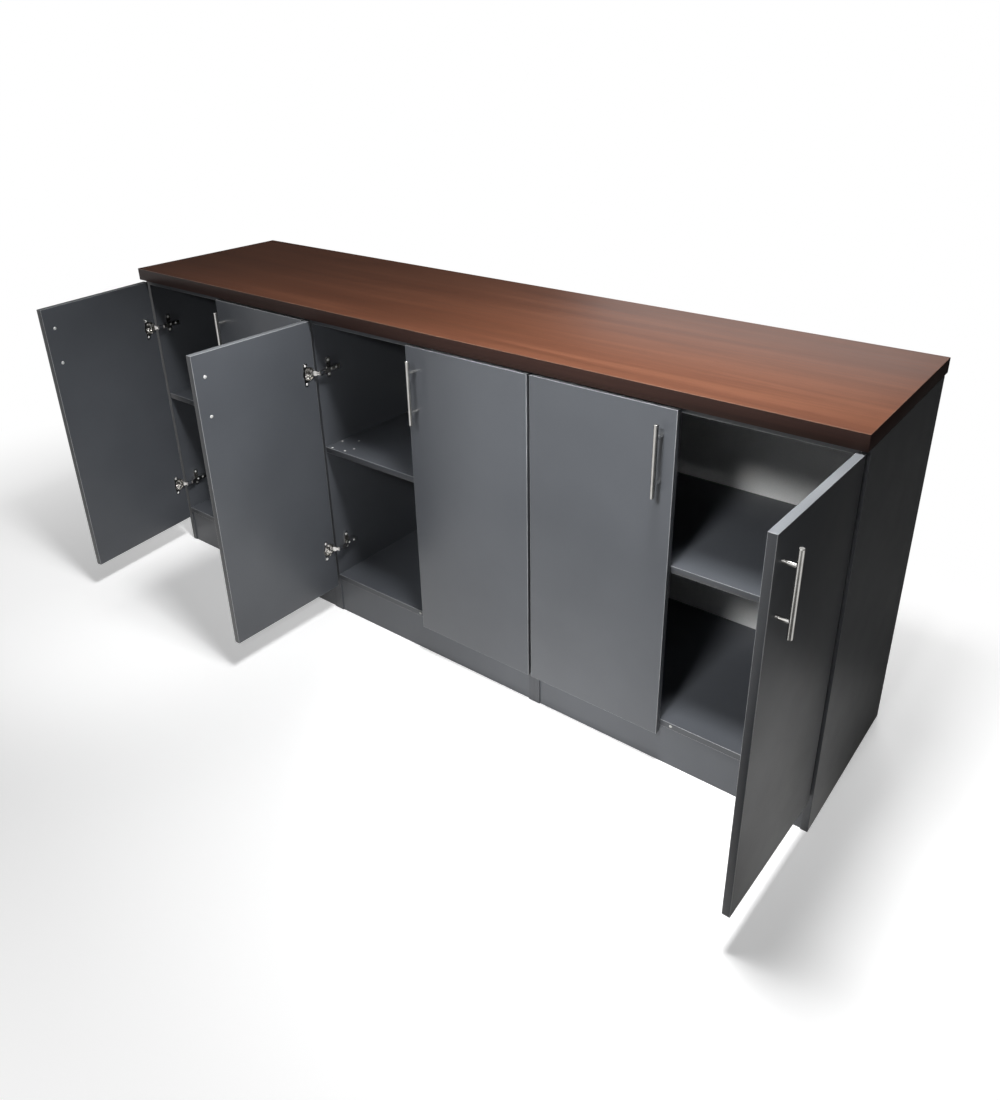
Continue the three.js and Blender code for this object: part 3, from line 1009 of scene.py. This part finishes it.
def distance(tree, place, middle, stretch):
    """How far a place lies from a middle, with each axis stretched."""
    offset = tree.nodes.new("ShaderNodeVectorMath")
    offset.operation = "SUBTRACT"
    offset.inputs[1].default_value = middle
    tree.links.new(place, offset.inputs[0])
    scaled = tree.nodes.new("ShaderNodeVectorMath")
    scaled.operation = "MULTIPLY"
    scaled.inputs[1].default_value = stretch
    tree.links.new(offset.outputs["Vector"], scaled.inputs[0])
    length = tree.nodes.new("ShaderNodeVectorMath")
    length.operation = "LENGTH"
    tree.links.new(scaled.outputs["Vector"], length.inputs[0])
    return length.outputs["Value"]


def parts_of(tree, vector):
    """The X, Y and Z of a vector."""
    node = tree.nodes.new("ShaderNodeSeparateXYZ")
    tree.links.new(vector, node.inputs["Vector"])
    return node.outputs


def shown(tree, mask):
    """1 for the camera's rays, and the mask's value for mirrored and refracted ones."""
    path = tree.nodes.new("ShaderNodeLightPath").outputs
    onward = maths(tree, "MAXIMUM", path["Is Glossy Ray"], path["Is Transmission Ray"])
    return maths(tree, "MAXIMUM", path["Is Camera Ray"], product(tree, onward, mask))


def floor_material():
    """A pale floor that keeps shadows near the object and is plain white further off."""
    made = Nodes("floor")
    tree = made.tree
    place = parts_of(tree, made.place)
    beside = ranged(tree, place["X"], SIDE_SPAN, SIDE_LEVELS)
    ahead = ranged(tree, place["Y"], BOUNCE_SPAN, BOUNCE_LEVELS)
    near = ranged(tree, place["Y"], MIRROR_SPAN, MIRROR_LEVELS)
    from_shade = distance(tree, made.place, SHADE_MIDDLE, EVEN)
    clear = ranged(tree, from_shade, SHADE_SPAN, SHADE_LEVELS)
    from_foot = distance(tree, made.place, FOOT_MIDDLE, FOOT_STRETCH)
    foot = ranged(tree, from_foot, FOOT_SPAN, FOOT_LEVELS)
    from_middle = distance(tree, made.place, FADE_MIDDLE, FADE_STRETCH)
    fade = ranged(tree, from_middle, FADE_SPAN, RISING)
    bounce = product(tree, product(tree, ahead, beside), clear)
    seen = shown(tree, product(tree, product(tree, near, foot), clear))
    made.paint(made.mixed(seen, bounce, FLOOR_COLOUR))
    strength = made.add("ShaderNodeMix")
    strength.inputs["B"].default_value = FLOOR_GLOW
    made.link(seen, strength.inputs["Factor"])
    made.link(product(tree, bounce, BOUNCE_GLOW), strength.inputs["A"])
    made.link(strength.outputs["Result"], made.shader.inputs["Emission Strength"])
    made.link(made.mixed(seen, BOUNCE_TINT, WHITE), made.shader.inputs["Emission Color"])
    made.constant("Roughness", FLOOR_ROUGHNESS)
    white = made.add("ShaderNodeEmission")
    mix = made.add("ShaderNodeMixShader")
    made.link(product(tree, fade, seen), mix.inputs["Fac"])
    made.link(made.shader.outputs["BSDF"], mix.inputs[1])
    made.link(white.outputs["Emission"], mix.inputs[2])
    made.link(mix.outputs["Shader"], tree.nodes["Material Output"].inputs["Surface"])
    return made.material


def floor():
    """The floor that the object stands on."""
    bm = bmesh.new()
    bmesh.ops.create_grid(bm, x_segments=1, y_segments=1, size=FLOOR_SIZE / 2)
    ground = bpy.data.objects.new("floor", mesh_of(bm, "floor"))
    bpy.context.scene.collection.objects.link(ground)
    ground.data.materials.append(floor_material())


def placed_light(name, light, settings):
    """A light at its place, turned to its aim."""
    lamp = bpy.data.objects.new(name, light)
    lamp.location = settings["place"]
    towards = Vector(settings["aim"]) - Vector(settings["place"])
    lamp.rotation_euler = towards.to_track_quat("-Z", "Y").to_euler()
    bpy.context.scene.collection.objects.link(lamp)
    return lamp


def area_light(name, settings):
    """A square soft light at a place, aimed at a point."""
    light = bpy.data.lights.new(name, "AREA")
    light.size = settings["size"]
    light.energy = settings["power"]
    light.spread = math.radians(settings["spread"])
    return placed_light(name, light, settings)


def spot_light(name, settings):
    """A round soft-edged beam at a place, aimed at a point."""
    light = bpy.data.lights.new(name, "SPOT")
    light.shadow_soft_size = settings["radius"]
    light.energy = settings["power"]
    light.spot_size = math.radians(settings["cone"])
    light.spot_blend = settings["blend"]
    return placed_light(name, light, settings)


def world():
    """Even grey light all round, and plain white where the camera looks past the floor."""
    scene_world = bpy.data.worlds.new("studio")
    scene_world.use_nodes = True
    tree = scene_world.node_tree
    background = tree.nodes["Background"]
    background.inputs["Color"].default_value = WHITE
    direction = parts_of(tree, tree.nodes.new("ShaderNodeTexCoord").outputs["Generated"])
    in_front = ranged(tree, direction["Y"], GLOSS_SPAN_Y, FALLING)
    to_left = ranged(tree, direction["X"], GLOSS_SPAN_X, FALLING)
    seen = shown(tree, product(tree, in_front, to_left))
    strength = ranged(tree, seen, RISING, (AMBIENT, 1))
    tree.links.new(strength, background.inputs["Strength"])
    bpy.context.scene.world = scene_world


def camera():
    """The photograph's camera."""
    level = math.cos(CAMERA_TILT)
    forward = Vector((math.sin(CAMERA_HEADING) * level, math.cos(CAMERA_HEADING) * level,
                      math.sin(CAMERA_TILT)))
    right = forward.cross(Vector((0, 0, 1))).normalized()
    up = right.cross(forward)
    rolled_right = right * math.cos(CAMERA_ROLL) + up * math.sin(CAMERA_ROLL)
    rolled_up = up * math.cos(CAMERA_ROLL) - right * math.sin(CAMERA_ROLL)
    turn = Matrix((rolled_right, rolled_up, -forward)).transposed().to_4x4()
    data = bpy.data.cameras.new("camera")
    long_side = max(PHOTO_SIZE)
    data.sensor_width = SENSOR
    data.lens = SENSOR * CAMERA_FOCUS_PIXELS / long_side
    data.shift_x = (PHOTO_SIZE[0] / 2 - CAMERA_CENTRE_PIXELS[0]) / long_side
    data.shift_y = (CAMERA_CENTRE_PIXELS[1] - PHOTO_SIZE[1] / 2) / long_side
    eye = bpy.data.objects.new("camera", data)
    eye.matrix_world = Matrix.Translation(CAMERA_PLACE) @ turn
    bpy.context.scene.collection.objects.link(eye)
    bpy.context.scene.camera = eye


floor()
area_light("key_light", KEY)
spot_light("front_light", FRONT)
spot_light("left_light", LEFT)
spot_light("fill_light", FILL)
area_light("back_light", BACK_LIGHT)
area_light("rear_fill", REAR_FILL).visible_glossy = False
world()
camera()
bpy.context.scene.view_settings.view_transform = "Standard"
